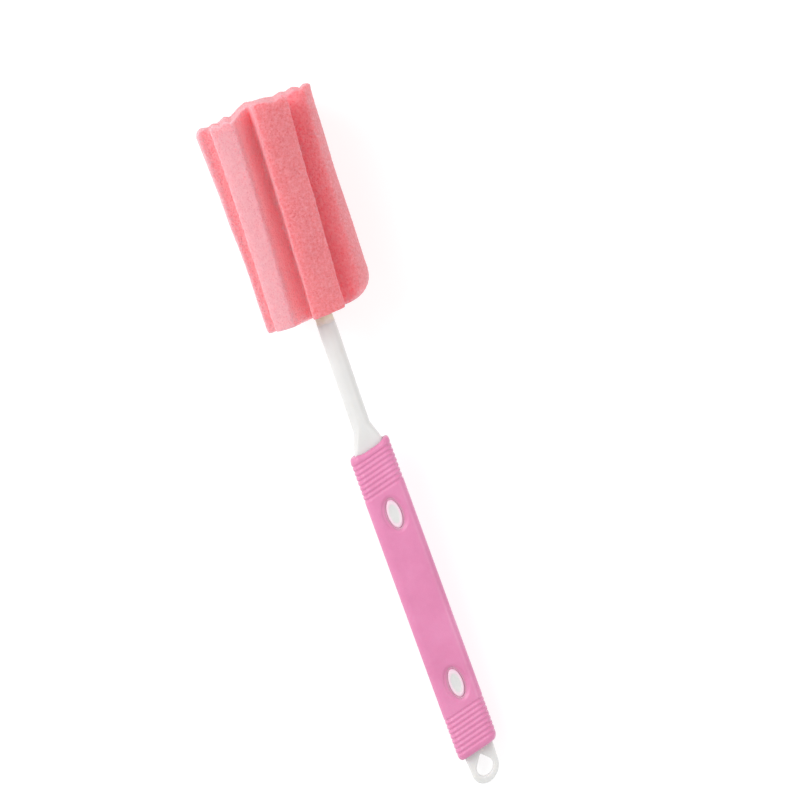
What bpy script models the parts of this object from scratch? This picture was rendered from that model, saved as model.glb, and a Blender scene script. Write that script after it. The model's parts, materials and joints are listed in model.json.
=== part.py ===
"""Sponge bottle brush: a fluted foam head on a white moulded core with a soft overmoulded grip.

Blender 4.5 script, in metres. The brush is modelled along +X, from the end of the hang tab at x = 0 to
the foam's tip, with its flat faces towards +Z and -Z. The grip's rim, grooves and tail and the tab are
drawn square to the axis and then slanted, so that their -Y side is further along. The stem leans a
little towards -Y from the grip's end, and carries the adhesive and the foam with it. The brush is then
laid down as it lies on a table, on the tail of the grip and the edge of the foam, with the origin on
the table under its middle.
"""

import math

import bmesh
import bpy
from mathutils import Euler, Vector

# Gap between pieces that touch, and how far cutters and joined shapes run past what they meet
CLEARANCE = 0.0003
OVERRUN = 0.0020
MERGE_DISTANCE = 0.00001

# How far the grip's rim, grooves and tail and the tab slant from a cut square to the axis
CROSS_SLANT_DEG = 14.0

# Hang tab: its free length, the width at its round end, and its hole, a circle drawn out to a point
TAB_LENGTH = 0.0131
TAB_END_WIDTH = 0.0114
TAB_THICKNESS = 0.0040
TAB_INSET = 0.0001
TAB_ROUNDING = 0.0005
HOLE_RADIUS = 0.0034
HOLE_WEB = 0.0026
HOLE_POINT_DEG = 78.0

# Grip sleeve: its outside, its wall round the core, and its two ends
GRIP_LENGTH = 0.1234
GRIP_WIDTH = 0.0170
GRIP_THICKNESS = 0.0120
GRIP_CORNER = 0.0032
GRIP_WALL = 0.0020
TAIL_WALL = 0.0020
TAIL_LIP = 0.0004
TAIL_ROUNDING = 0.0035
RIM_ROUNDING = 0.0018
RIM_SCOOP = 0.0008
RIM_LUG = 0.0026

# Finger grooves round both ends of the sleeve
GROOVE_COUNT = 8
GROOVE_START = 0.00315
GROOVE_PITCH = 0.00195
GROOVE_WIDTH = 0.0011
GROOVE_DEPTH = 0.00045
GROOVE_FLOOR_SHARE = 0.36

# Oval islands of the core, and the windows and dishes that the sleeve leaves round them
ISLAND_LENGTH = 0.0116
ISLAND_WIDTH = 0.0055
ISLAND_ROUNDING = 0.0004
ISLAND_RECESS = 0.0002
ISLAND_FROM_RIM = 0.0269
ISLAND_FROM_TAIL = 0.0275
# They sit this far from the grip's middle towards -Y
ISLAND_ASIDE = 0.0006
WINDOW_LIP = 0.0008
WINDOW_LIP_DEPTH = 0.0010
DISH_LENGTH = 0.0152
DISH_WIDTH = 0.0100
DISH_DEPTH = 0.0005
DISH_CURVE = 0.0030

# Stem, and the shoulder that fans out from it into the grip
BAR_CORNER = 0.0015
STEM_LENGTH = 0.0545
STEM_DIAMETER = 0.0072
STEM_LEAN_DEG = 1.05
SHOULDER_LENGTH = 0.0085
FACET_LENGTH = 0.0130
# Each pair is how far along the shoulder, and how much of its extra width is left there
SHOULDER_SHARES = ((0.0, 1.0), (0.25, 0.76), (0.5, 0.5), (0.75, 0.24), (0.9, 0.08), (1.0, 0.0))

# Barbed spindle inside the foam, and the adhesive round its neck
NECK_DIAMETER = 0.0048
BARB_DIAMETER = 0.0072
BARB_COUNT = 5
BARB_LENGTH = 0.0045
BARB_LAND = 0.0006
SPINDLE_TIP_DIAMETER = 0.0030
FOAM_OVER_SPINDLE = 0.0165
GLUE_THICKNESS = 0.0006
GLUE_OUTSIDE = 0.0040
GLUE_INSIDE = 0.0120

# Foam head: hand-cut flutes, turned a little along the head, which widens late towards its tip. The
# flare is the power of the distance along the head that the widening follows, 1 for a straight taper
FOAM_LENGTH = 0.0844
FOAM_BASE_DIAMETER = 0.0442
FOAM_TIP_DIAMETER = 0.0478
FOAM_FLARE = 3.0
NOTCH_DIAMETER = 0.0200
FLUTE_TURN_DEG = 8.3
FLUTE_TWIST_DEG = 11.5
FOAM_EDGE = 0.0010
# Both ends of the foam are cut a little askew, so that the -Y side is further along the brush
BASE_SLANT_DEG = 3.3
TIP_SLANT_DEG = 5.0
# Each pair is a flute's place in pitches, counted from the one nearest +Z towards -Y, and how much of
# the pitch its outer face takes
FLUTE_SHARES = ((0.0, 0.64), (1.0, 0.58), (2.02, 0.60), (3.04, 0.60), (4.12, 0.57), (5.075, 0.50))
NOTCH_FLOOR_SHARE = 0.05
# The flutes on one side have a worn corner at the base, and one flute has a worn corner at the tip
WORN_BASE_FLUTES = (1, 2)
WORN_BASE_ROUNDING = 0.0095
WORN_TIP_FLUTE = 4
WORN_TIP_ROUNDING = 0.0030
# Saw-toothed cut across the tip, with a smooth hump over the spindle
TOOTH_PITCH = 0.0049
TOOTH_HEIGHT = 0.0010
HUMP_WIDTH = 0.0135
HUMP_HEIGHT = 0.0016

# Facets, and the angle between faces below which they are shaded as one round surface
SMOOTH_BELOW_DEG = 35.0
CORNER_STEPS = 5
OVAL_STEPS = 24
TURN_STEPS = 16
ARC_STEPS = 16
HUMP_STEPS = 6
FACE_SHARES = (0.0, 0.25, 0.5, 0.75, 1.0)
BASE_CORNER_SHARES = (0.0, 0.05, 0.16, 0.35, 0.65, 1.0)
FOAM_SIDE_SHARES = (0.32, 0.56, 0.8)
TIP_CORNER_SHARES = (1.0, 0.5, 0.15)

# Places along the brush
grip_start = TAB_LENGTH
grip_end = grip_start + GRIP_LENGTH
bar_start = grip_start + TAIL_WALL + CLEARANCE
foam_start = grip_end + STEM_LENGTH
foam_end = foam_start + FOAM_LENGTH
neck_start = foam_start - GLUE_OUTSIDE
glue_start = neck_start + CLEARANCE
glue_end = foam_start + GLUE_INSIDE
spindle_end = foam_end - FOAM_OVER_SPINDLE
barb_pitch = (spindle_end - glue_end) / BARB_COUNT

cross_rise = math.tan(math.radians(CROSS_SLANT_DEG))
stem_lean = math.radians(STEM_LEAN_DEG)

# The core's bar fills the sleeve, and the tab is a little narrower than the bar
bar_width = GRIP_WIDTH - 2 * (GRIP_WALL + CLEARANCE)
bar_thickness = GRIP_THICKNESS - 2 * (GRIP_WALL + CLEARANCE)
tab_root_width = bar_width - 2 * TAB_INSET
slot_width = tab_root_width + 2 * CLEARANCE
slot_thickness = TAB_THICKNESS + 2 * CLEARANCE
tail_inset = (GRIP_WIDTH - slot_width) / 2 - TAIL_LIP
glue_inner_radius = NECK_DIAMETER / 2 + CLEARANCE
glue_outer_radius = glue_inner_radius + GLUE_THICKNESS


def start_scene():
    """Empties the scene, and makes the collections and the empty that carries the whole brush."""
    for old in list(bpy.data.objects):
        bpy.data.objects.remove(old)
    brush = bpy.data.collections.new("sponge_bottle_brush")
    cutters = bpy.data.collections.new("cutters")
    for collection in (brush, cutters):
        bpy.context.scene.collection.children.link(collection)
    carrier = bpy.data.objects.new("brush_carrier", None)
    brush.objects.link(carrier)
    lean = bpy.data.objects.new("stem_lean", None)
    brush.objects.link(lean)
    lean.parent = carrier
    lean.location = (grip_end, 0.0, 0.0)
    lean.rotation_euler = (0.0, 0.0, -stem_lean)
    return brush, cutters, carrier, lean


def make_material(name, colour, roughness, metallic=0.0):
    material = bpy.data.materials.new(name)
    material.use_nodes = True
    shader = material.node_tree.nodes["Principled BSDF"]
    shader.inputs["Base Color"].default_value = (*colour, 1.0)
    shader.inputs["Roughness"].default_value = roughness
    shader.inputs["Metallic"].default_value = metallic
    return material


def carry(shape, leaning):
    """Puts a shape on the brush, or on the leaning stem, where x still counts from the tab's end."""
    shape.parent = stem_carrier if leaning else brush_carrier
    if leaning:
        shape.location = (-grip_end, 0.0, 0.0)


def slanted(mesh):
    """The mesh, with its points moved along the brush as the grip's cross-lines slant."""
    for vertex in mesh.vertices:
        vertex.co.x -= cross_rise * vertex.co.y
    return mesh


def add_piece(name, mesh, material, leaning=False):
    """A named piece of the brush, which becomes one solid."""
    piece = bpy.data.objects.new(name, mesh)
    mesh.materials.append(material)
    brush_collection.objects.link(piece)
    carry(piece, leaning)
    return piece


def finish_piece(piece):
    """Keeps the cut and joined shape as the piece's own mesh, and shades its round faces smooth."""
    bpy.context.view_layer.update()
    graph = bpy.context.evaluated_depsgraph_get()
    mesh = bpy.data.meshes.new_from_object(piece.evaluated_get(graph))
    mesh.name = piece.name
    mesh.shade_smooth()
    mesh.set_sharp_from_angle(angle=math.radians(SMOOTH_BELOW_DEG))
    piece.modifiers.clear()
    piece.data = mesh


def add_helper(name, mesh, leaning=False):
    """A shape that only cuts or joins a piece."""
    helper = bpy.data.objects.new(name, mesh)
    helper.hide_render = True
    helper.display_type = "WIRE"
    cutter_collection.objects.link(helper)
    carry(helper, leaning)
    return helper


def combine(piece, operation, helper):
    modifier = piece.modifiers.new(operation.lower() + "_" + helper.name, "BOOLEAN")
    modifier.operation = operation
    modifier.solver = "EXACT"
    modifier.object = helper


def loft(name, rings):
    """A closed mesh skinned over rings of equally many points, with a flat cap on each end."""
    shape = bmesh.new()
    loops = [[shape.verts.new(point) for point in ring] for ring in rings]
    for near, far in zip(loops, loops[1:]):
        for i in range(len(near)):
            j = (i + 1) % len(near)
            shape.faces.new((near[i], near[j], far[j], far[i]))
    shape.faces.new(list(reversed(loops[0])))
    shape.faces.new(loops[-1])
    bmesh.ops.recalc_face_normals(shape, faces=shape.faces)
    mesh = bpy.data.meshes.new(name)
    shape.to_mesh(mesh)
    shape.free()
    return mesh


def rounded_section(x, width, thickness, radius):
    """A rounded rectangle across the axis at x, and a circle where the radius is half of both sizes."""
    step = math.pi / 2 / CORNER_STEPS
    reach = radius / math.cos(step / 2)
    points = []
    for quadrant in range(4):
        side_y = 1 if quadrant in (0, 3) else -1
        side_z = 1 if quadrant in (0, 1) else -1
        centre_y = side_y * (width / 2 - radius)
        centre_z = side_z * (thickness / 2 - radius)
        for i in range(CORNER_STEPS):
            angle = quadrant * math.pi / 2 + (i + 0.5) * step
            y = centre_y + reach * math.cos(angle)
            z = centre_z + reach * math.sin(angle)
            points.append((x, y, z))
    return points


def oval(x, z, length, width):
    """An ellipse around the vertical through an island's middle at x, at height z."""
    points = []
    for i in range(OVAL_STEPS):
        angle = 2 * math.pi * i / OVAL_STEPS
        y = width / 2 * math.sin(angle) - ISLAND_ASIDE
        points.append((x + length / 2 * math.cos(angle), y, z))
    return points


def extruded_outline(name, outline, thickness):
    """A flat shape in the XY plane, as a closed mesh of this thickness about z = 0."""
    curve = bpy.data.curves.new(name, "CURVE")
    curve.dimensions = "2D"
    curve.fill_mode = "BOTH"
    curve.extrude = thickness / 2
    spline = curve.splines.new("POLY")
    spline.points.add(len(outline) - 1)
    for point, (x, y) in zip(spline.points, outline):
        point.co = (x, y, 0.0, 1.0)
    spline.use_cyclic_u = True
    drawn = bpy.data.objects.new(name, curve)
    cutter_collection.objects.link(drawn)
    bpy.context.view_layer.update()
    graph = bpy.context.evaluated_depsgraph_get()
    mesh = bpy.data.meshes.new_from_object(drawn.evaluated_get(graph))
    bpy.data.objects.remove(drawn)
    shape = bmesh.new()
    shape.from_mesh(mesh)
    bmesh.ops.remove_doubles(shape, verts=shape.verts, dist=MERGE_DISTANCE)
    bmesh.ops.dissolve_limit(
        shape, angle_limit=math.radians(1), verts=shape.verts, edges=shape.edges
    )
    bmesh.ops.recalc_face_normals(shape, faces=shape.faces)
    shape.to_mesh(mesh)
    shape.free()
    return mesh


def turned_mesh(name, profile, closed=False):
    """Edges of a profile of (radius, x) points, drawn up the local Z axis for a Screw modifier."""
    points = [(radius, 0.0, x) for radius, x in profile]
    edges = [(i, i + 1) for i in range(len(points) - 1)]
    if closed:
        edges.append((len(points) - 1, 0))
    mesh = bpy.data.meshes.new(name)
    mesh.from_pydata(points, edges, [])
    return mesh


def turn_about_axis(shape):
    """Sweeps a turned profile all round, and lays its axis along +X."""
    screw = shape.modifiers.new("turn", "SCREW")
    screw.axis = "Z"
    screw.steps = TURN_STEPS
    screw.render_steps = TURN_STEPS
    screw.use_merge_vertices = True
    screw.merge_threshold = MERGE_DISTANCE
    shape.rotation_euler = (0.0, math.pi / 2, 0.0)


def arc(centre_x, radius, first_deg, last_deg):
    """Points on a circle about (centre_x, 0), with angles counted from +X towards +Y."""
    points = []
    for i in range(ARC_STEPS + 1):
        angle = math.radians(first_deg + (last_deg - first_deg) * i / ARC_STEPS)
        points.append((centre_x + radius * math.cos(angle), radius * math.sin(angle)))
    return points


def tab_mesh():
    """The hang tab's plate: nearly parallel sides and a round end."""
    end_radius = TAB_END_WIDTH / 2
    root = bar_start + OVERRUN
    outline = [(root, tab_root_width / 2), (grip_start, tab_root_width / 2)]
    outline += arc(end_radius, end_radius, 90, 270)
    outline += [(grip_start, -tab_root_width / 2), (root, -tab_root_width / 2)]
    return extruded_outline("hang_tab", outline, TAB_THICKNESS)


def tab_hole_mesh():
    """A column through the tab's hole, flared at both faces. Its point is towards the grip."""
    half_point = HOLE_POINT_DEG / 2
    centre = HOLE_WEB + HOLE_RADIUS
    face = TAB_THICKNESS / 2
    waist = face - TAB_ROUNDING
    levels = ((-face - OVERRUN, TAB_ROUNDING), (-face, TAB_ROUNDING), (-waist, 0.0))
    levels += ((waist, 0.0), (face, TAB_ROUNDING), (face + OVERRUN, TAB_ROUNDING))
    rings = []
    for z, flare in levels:
        radius = HOLE_RADIUS + flare
        outline = arc(centre, radius, 90 - half_point, 270 + half_point)
        outline.append((centre + radius / math.sin(math.radians(half_point)), 0.0))
        rings.append([(x, y, z) for x, y in outline])
    return loft("tab_hole", rings)


def leaning_section(x, width, thickness, radius):
    """A section of the stem or its shoulder, moved towards -Y as the stem leans."""
    offset = (x - grip_end) * math.tan(stem_lean)
    return [(x, y - offset, z) for x, y, z in rounded_section(x, width, thickness, radius)]


def square_to_stem(points):
    """Points that are still square to the stem after the grip's slant."""
    return [(x + cross_rise * y, y, z) for x, y, z in points]


def bar_sections():
    """Sections of the core from the bar in the grip, over the shoulder, to the round stem's end."""
    extra_width = bar_width - STEM_DIAMETER
    extra_thickness = bar_thickness - STEM_DIAMETER
    extra_radius = STEM_DIAMETER / 2 - BAR_CORNER
    sections = [rounded_section(bar_start, bar_width, bar_thickness, BAR_CORNER)]
    for along, left in SHOULDER_SHARES:
        reach = along * SHOULDER_LENGTH
        towards_round = reach / FACET_LENGTH
        width = STEM_DIAMETER + extra_width * left
        thickness = STEM_DIAMETER + extra_thickness * (1 - towards_round)
        radius = BAR_CORNER + extra_radius * towards_round
        sections.append(leaning_section(grip_end + reach, width, thickness, radius))
    for x in (grip_end + FACET_LENGTH, neck_start):
        sections.append(leaning_section(x, STEM_DIAMETER, STEM_DIAMETER, STEM_DIAMETER / 2))
    sections[-1] = square_to_stem(sections[-1])
    return sections


def barb_profile(clearance):
    """(radius, x) points down the barbed stretch from the spindle's tip, grown by a clearance."""
    neck = NECK_DIAMETER / 2 + clearance
    barb = BARB_DIAMETER / 2 + clearance
    tip = spindle_end + clearance
    points = [(0.0, tip), (SPINDLE_TIP_DIAMETER / 2 + clearance, tip)]
    for number in range(BARB_COUNT):
        front = spindle_end - number * barb_pitch
        back = front - BARB_LENGTH
        if number:
            points.append((neck, front))
        points.append((barb, back))
        points.append((barb, back - BARB_LAND - clearance))
        points.append((neck, back - BARB_LAND - clearance))
    return points


def island_places():
    """The middle of each oval island along the brush."""
    return (grip_end - ISLAND_FROM_RIM, grip_start + ISLAND_FROM_TAIL)


def island_mesh(x):
    """A pair of ovals that stands on both faces of the bar, with softened upper edges."""
    top = GRIP_THICKNESS / 2 - ISLAND_RECESS
    shorter = ISLAND_LENGTH - 2 * ISLAND_ROUNDING
    narrower = ISLAND_WIDTH - 2 * ISLAND_ROUNDING
    edge = top - ISLAND_ROUNDING
    rings = [
        oval(x, -top, shorter, narrower),
        oval(x, -edge, ISLAND_LENGTH, ISLAND_WIDTH),
        oval(x, edge, ISLAND_LENGTH, ISLAND_WIDTH),
        oval(x, top, shorter, narrower),
    ]
    return loft("island_pair", rings)


def make_core():
    """The white moulding: hang tab, bar, islands, shoulder, stem and barbed spindle in one piece."""
    body = slanted(loft("handle_core", bar_sections()))
    core = add_piece("handle_core", body, white_plastic)
    tab = add_helper("hang_tab", slanted(tab_mesh()))
    edges = tab.modifiers.new("soft_edges", "BEVEL")
    edges.width = TAB_ROUNDING
    edges.segments = 2
    edges.limit_method = "ANGLE"
    edges.angle_limit = math.radians(50)
    combine(core, "UNION", tab)
    combine(core, "DIFFERENCE", add_helper("tab_hole", slanted(tab_hole_mesh())))
    profile = barb_profile(0.0)
    foot = neck_start - OVERRUN
    profile += [(NECK_DIAMETER / 2, foot), (0.0, foot)]
    spindle = add_helper("spindle", turned_mesh("spindle", profile), leaning=True)
    turn_about_axis(spindle)
    combine(core, "UNION", spindle)
    for number, x in enumerate(island_places(), start=1):
        island = add_helper(f"island_pair_{number}", island_mesh(x))
        combine(core, "UNION", island)
    finish_piece(core)


def end_inset(distance, rounding, inset):
    """How far a rounded end is drawn in at a distance from it: an elliptic quarter round."""
    left = 1 - min(distance / rounding, 1)
    return inset * (1 - math.sqrt(1 - left * left))


def sleeve_section(x, groove):
    """The sleeve's outline at x, drawn in by the groove depth given and by its rounded ends."""
    inset = groove
    inset += end_inset(x - grip_start, TAIL_ROUNDING, tail_inset)
    inset += end_inset(grip_end - x, RIM_ROUNDING, RIM_ROUNDING)
    width = GRIP_WIDTH - 2 * inset
    thickness = GRIP_THICKNESS - 2 * inset
    radius = GRIP_CORNER * (1 - 2 * inset / GRIP_WIDTH)
    return rounded_section(x, width, thickness, radius)


def sleeve_sections():
    """Sections of the sleeve's outside: round tail, grooves, plain middle, grooves, round rim."""
    places = [(grip_start + TAIL_ROUNDING * share, 0.0) for share in (0.0, 0.06, 0.2, 0.45)]
    mouth = GROOVE_WIDTH / 2
    floor = mouth * GROOVE_FLOOR_SHARE
    steps = ((-mouth, 0.0), (-floor, GROOVE_DEPTH), (floor, GROOVE_DEPTH), (mouth, 0.0))
    for number in range(GROOVE_COUNT):
        middle = grip_start + GROOVE_START + number * GROOVE_PITCH
        places += [(middle + offset, depth) for offset, depth in steps]
    for number in reversed(range(GROOVE_COUNT)):
        middle = grip_end - GROOVE_START - number * GROOVE_PITCH
        places += [(middle + offset, depth) for offset, depth in steps]
    places += [(grip_end - RIM_ROUNDING * share, 0.0) for share in (1.0, 0.5, 0.15, 0.0)]
    return [sleeve_section(x, depth) for x, depth in places]


def window_mesh(x):
    """A column through both windows: the island's outline with its gap, flared at both faces."""
    face = GRIP_THICKNESS / 2
    waist = face - WINDOW_LIP_DEPTH
    gap_length = ISLAND_LENGTH + 2 * CLEARANCE
    gap_width = ISLAND_WIDTH + 2 * CLEARANCE
    lip_length = gap_length + 2 * WINDOW_LIP
    lip_width = gap_width + 2 * WINDOW_LIP
    rings = [
        oval(x, -face - OVERRUN, lip_length, lip_width),
        oval(x, -face, lip_length, lip_width),
        oval(x, -waist, gap_length, gap_width),
        oval(x, waist, gap_length, gap_width),
        oval(x, face, lip_length, lip_width),
        oval(x, face + OVERRUN, lip_length, lip_width),
    ]
    return loft("window", rings)


def dish_mesh(x, side):
    """An ellipsoid that cuts a shallow oval dish into the face on this side."""
    height = DISH_CURVE - DISH_DEPTH
    spread = math.sqrt(1 - (height / DISH_CURVE) ** 2)
    size = Vector((DISH_LENGTH / 2 / spread, DISH_WIDTH / 2 / spread, DISH_CURVE))
    shape = bmesh.new()
    bmesh.ops.create_uvsphere(shape, u_segments=OVAL_STEPS, v_segments=OVAL_STEPS, radius=1.0)
    bmesh.ops.scale(shape, vec=size, verts=shape.verts)
    centre = Vector((x, -ISLAND_ASIDE, side * (GRIP_THICKNESS / 2 + height)))
    bmesh.ops.translate(shape, vec=centre, verts=shape.verts)
    mesh = bpy.data.meshes.new("dish")
    shape.to_mesh(mesh)
    shape.free()
    return mesh


def scoop_mesh():
    """An upright cylinder that hollows the sleeve's rim, so that a lug is left on each side."""
    half_chord = GRIP_WIDTH / 2 - RIM_LUG
    radius = (half_chord ** 2 + RIM_SCOOP ** 2) / (2 * RIM_SCOOP)
    shape = bmesh.new()
    bmesh.ops.create_cone(
        shape,
        cap_ends=True,
        segments=4 * OVAL_STEPS,
        radius1=radius,
        radius2=radius,
        depth=GRIP_THICKNESS + 2 * OVERRUN,
    )
    centre = Vector((grip_end - RIM_SCOOP + radius, 0.0, 0.0))
    bmesh.ops.translate(shape, vec=centre, verts=shape.verts)
    mesh = bpy.data.meshes.new("rim_scoop")
    shape.to_mesh(mesh)
    shape.free()
    return mesh


def make_sleeve():
    """The soft overmould: a grooved tube round the core's bar, closed at the tail but for the tab."""
    body = slanted(loft("grip_sleeve", sleeve_sections()))
    sleeve = add_piece("grip_sleeve", body, pink_rubber)
    gap = 2 * CLEARANCE
    bore = [
        rounded_section(x, bar_width + gap, bar_thickness + gap, BAR_CORNER + CLEARANCE)
        for x in (grip_start + TAIL_WALL, grip_end + OVERRUN)
    ]
    combine(sleeve, "DIFFERENCE", add_helper("bar_bore", slanted(loft("bar_bore", bore))))
    slot = [
        rounded_section(x, slot_width, slot_thickness, TAB_ROUNDING)
        for x in (grip_start - OVERRUN, bar_start + OVERRUN + CLEARANCE)
    ]
    combine(sleeve, "DIFFERENCE", add_helper("tab_slot", slanted(loft("tab_slot", slot))))
    combine(sleeve, "DIFFERENCE", add_helper("rim_scoop", slanted(scoop_mesh())))
    for number, x in enumerate(island_places(), start=1):
        for side_name, side in (("front", 1), ("back", -1)):
            dish = add_helper(f"dish_{number}_{side_name}", dish_mesh(x, side))
            combine(sleeve, "DIFFERENCE", dish)
        window = add_helper(f"window_{number}", window_mesh(x))
        combine(sleeve, "DIFFERENCE", window)
    finish_piece(sleeve)


def make_glue():
    """The cured adhesive: a thin sleeve on the spindle's neck, partly outside and partly in the foam."""
    profile = [
        (glue_outer_radius, glue_end),
        (glue_outer_radius, glue_start),
        (glue_inner_radius, glue_start),
        (glue_inner_radius, glue_end),
    ]
    tube = turned_mesh("glue_collar", profile, closed=True)
    collar = add_piece("glue_collar", tube, adhesive, leaning=True)
    turn_about_axis(collar)
    finish_piece(collar)


def corner_inset(flute, from_base):
    """How far this flute's outer face is drawn in by its rounded ends, at a distance from the base."""
    base_rounding = WORN_BASE_ROUNDING if flute in WORN_BASE_FLUTES else FOAM_EDGE
    inset = end_inset(from_base, base_rounding, base_rounding)
    if flute == WORN_TIP_FLUTE:
        from_tip = max(FOAM_LENGTH - from_base, 0.0)
        inset += end_inset(from_tip, WORN_TIP_ROUNDING, WORN_TIP_ROUNDING)
    return inset


def flute_angles():
    """The first and last angle of each flute's outer face, counted from +Z towards -Y."""
    pitch = 2 * math.pi / len(FLUTE_SHARES)
    edges = []
    for place, face in FLUTE_SHARES:
        edges.append((pitch * (place - face / 2), pitch * (place + face / 2)))
    return edges


def foam_outline(from_base):
    """(angle, radius) points round the fluted foam at a distance from its base, before the twist."""
    along = from_base / FOAM_LENGTH
    widening = along ** FOAM_FLARE
    radius = (FOAM_BASE_DIAMETER + (FOAM_TIP_DIAMETER - FOAM_BASE_DIAMETER) * widening) / 2
    edge = FOAM_EDGE / radius
    half_floor = math.pi / len(FLUTE_SHARES) * NOTCH_FLOOR_SHARE
    edges = flute_angles()
    points = []
    for flute, (first, last) in enumerate(edges):
        outer = radius - corner_inset(flute, from_base)
        next_first = edges[(flute + 1) % len(edges)][0]
        if next_first < last:
            next_first += 2 * math.pi
        notch = (last + next_first) / 2
        points.append((first, outer - FOAM_EDGE))
        for share in FACE_SHARES:
            points.append((first + edge + (last - first - 2 * edge) * share, outer))
        points.append((last, outer - FOAM_EDGE))
        points.append((notch - half_floor, NOTCH_DIAMETER / 2))
        points.append((notch + half_floor, NOTCH_DIAMETER / 2))
    return points


def foam_section(from_base):
    """The fluted outline at a distance from the base, with the askew cuts of both ends shared out."""
    along = from_base / FOAM_LENGTH
    turn = math.radians(FLUTE_TURN_DEG + FLUTE_TWIST_DEG * along)
    base_rise = math.tan(math.radians(BASE_SLANT_DEG))
    tip_rise = math.tan(math.radians(TIP_SLANT_DEG))
    rise = base_rise + (tip_rise - base_rise) * along
    points = []
    for angle, reach in foam_outline(from_base):
        across = reach * math.sin(angle + turn)
        points.append((foam_start + from_base + rise * across, -across, reach * math.cos(angle + turn)))
    return points


def foam_sections():
    """Sections of the foam from its base to just past its tip, closest where the corners round off."""
    places = [WORN_BASE_ROUNDING * share for share in BASE_CORNER_SHARES]
    places += [FOAM_LENGTH * share for share in FOAM_SIDE_SHARES]
    places += [FOAM_LENGTH - WORN_TIP_ROUNDING * share for share in TIP_CORNER_SHARES]
    places.append(FOAM_LENGTH + FOAM_EDGE)
    return [foam_section(place) for place in places]


def tip_cut_mesh():
    """What the saw-toothed cut takes off the tip: teeth on both sides of a smooth hump, drawn about
    the tip as its origin."""
    peak = -HUMP_HEIGHT
    half_hump = HUMP_WIDTH / 2
    half_width = FOAM_TIP_DIAMETER / 2 + OVERRUN
    tooth_count = math.ceil((half_width - half_hump) / TOOTH_PITCH)
    right = []
    for number in range(tooth_count):
        valley = half_hump + (number + 0.5) * TOOTH_PITCH
        right.append((peak - TOOTH_HEIGHT, valley))
        right.append((peak, valley + TOOTH_PITCH / 2))
    hump = []
    for i in range(HUMP_STEPS + 1):
        across = 2 * i / HUMP_STEPS - 1
        hump.append((peak + HUMP_HEIGHT * (1 - across * across), half_hump * across))
    far = 3 * OVERRUN
    outline = [(x, -y) for x, y in reversed(right)] + hump + right
    outline += [(far, right[-1][1]), (far, -right[-1][1])]
    return extruded_outline("tip_cut", outline, FOAM_TIP_DIAMETER + 2 * OVERRUN)


def make_foam():
    """The fluted foam head, with a blind bore that follows the spindle and the adhesive."""
    body = loft("sponge_head", foam_sections())
    foam = add_piece("sponge_head", body, pink_foam, leaning=True)
    tip_cut = add_helper("tip_cut", tip_cut_mesh(), leaning=True)
    tip_cut.location.x += foam_end
    tip_cut.rotation_euler = (0.0, 0.0, math.radians(TIP_SLANT_DEG))
    combine(foam, "DIFFERENCE", tip_cut)
    pocket = glue_outer_radius + CLEARANCE
    pocket_end = glue_end + CLEARANCE
    mouth = foam_start - OVERRUN
    profile = barb_profile(CLEARANCE)
    profile += [
        (NECK_DIAMETER / 2 + CLEARANCE, pocket_end),
        (pocket, pocket_end),
        (pocket, mouth),
        (0.0, mouth),
    ]
    bore = add_helper("spindle_bore", turned_mesh("spindle_bore", profile), leaning=True)
    turn_about_axis(bore)
    combine(foam, "DIFFERENCE", bore)
    finish_piece(foam)


def surface_points():
    """Every point of the finished pieces, in the brush's own frame."""
    bpy.context.view_layer.update()
    points = []
    for piece in brush_collection.objects:
        if piece.type == "MESH":
            points += [piece.matrix_world @ vertex.co for vertex in piece.data.vertices]
    return points


def resting_turn(points):
    """The turn about Y that lays the brush on the edge of its lower hull under its balance point."""
    hull = []
    for point in sorted((point.x, point.z) for point in points):
        while len(hull) > 1:
            (first_x, first_z), (last_x, last_z) = hull[-2:]
            rise = (last_z - first_z) * (point[0] - first_x)
            if rise < (point[1] - first_z) * (last_x - first_x):
                break
            hull.pop()
        hull.append(point)
    balance = (grip_start + grip_end) / 2
    for left, right in zip(hull, hull[1:]):
        if left[0] <= balance <= right[0]:
            return math.atan2(right[1] - left[1], right[0] - left[0])
    return 0.0


def lay_down():
    """Turns the carrier to the resting pose, and puts the origin on the table under the middle."""
    points = surface_points()
    turn = resting_turn(points)
    rotation = Euler((0.0, turn, 0.0)).to_matrix()
    turned = [rotation @ point for point in points]
    lows = [min(point[axis] for point in turned) for axis in range(3)]
    highs = [max(point[axis] for point in turned) for axis in range(3)]
    brush_carrier.rotation_euler = (0.0, turn, 0.0)
    brush_carrier.location = (-(lows[0] + highs[0]) / 2, -(lows[1] + highs[1]) / 2, -lows[2])


brush_collection, cutter_collection, brush_carrier, stem_carrier = start_scene()
white_plastic = make_material("white_plastic", (0.80, 0.80, 0.78), 0.35)
pink_rubber = make_material("pink_rubber", (0.78, 0.23, 0.46), 0.55)
pink_foam = make_material("pink_foam", (0.84, 0.22, 0.25), 0.95)
adhesive = make_material("adhesive", (0.52, 0.46, 0.31), 0.40)
make_core()
make_sleeve()
make_glue()
make_foam()
lay_down()
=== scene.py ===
"""Looks of the sponge bottle brush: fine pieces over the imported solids, materials, floor, light, camera."""

import json
import math

import bmesh
import bpy
from mathutils import Matrix, Vector, noise


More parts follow.
